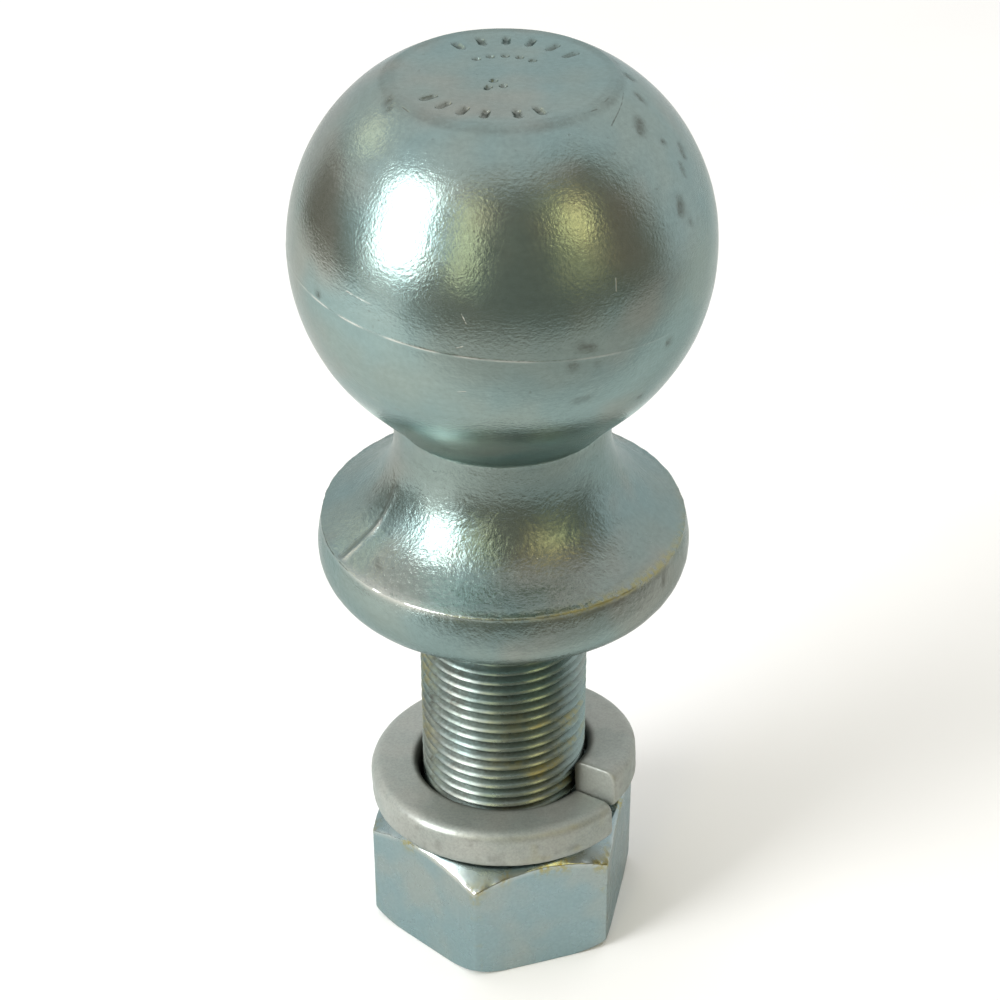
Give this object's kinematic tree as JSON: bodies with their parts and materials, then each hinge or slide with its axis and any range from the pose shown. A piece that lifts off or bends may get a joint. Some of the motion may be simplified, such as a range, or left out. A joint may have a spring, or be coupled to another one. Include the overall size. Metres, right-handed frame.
{
  "type": "trailer hitch ball",
  "caption": "Forged trailer hitch ball with flange and threaded straight shank, with its split lock washer and hex nut.",
  "frame": {"origin": "on the shank's axis, in the plane of the flange's underside, where the shank enters the hole of the bar it is bolted to", "axes": "+Z along the shank and up through the ball; the washer's split lies towards +X and -Y"},
  "size_m": [0.0588, 0.0588, 0.1432],
  "materials": {
    "zinc_forging": "clear blue zinc plate over forged and turned steel, satin",
    "zinc_washer": "dull mechanically plated zinc",
    "zinc_nut": "clear blue zinc plate, satin"
  },
  "bodies": {
    "stud": {"hitch_ball": "zinc_forging"},
    "washer": {"lock_washer": "zinc_washer"},
    "nut": {"hex_nut": "zinc_nut"}
  },
  "joints": [
    {"name": "washer_travel", "type": "slide", "parent": "stud", "child": "washer", "axis": [0, 0, 1], "range_m": [-0.0109, 0.0306]},
    {"name": "nut_turn", "type": "hinge", "parent": "washer", "child": "nut", "pos_m": [0, 0, -0.0434], "axis": [0, 0, 1], "range_deg": [-2160, 6070]}
  ],
  "couplings": [
    {"joint": "washer_travel", "follows": "nut_turn", "m_per_rad": 0.00028875}
  ]
}
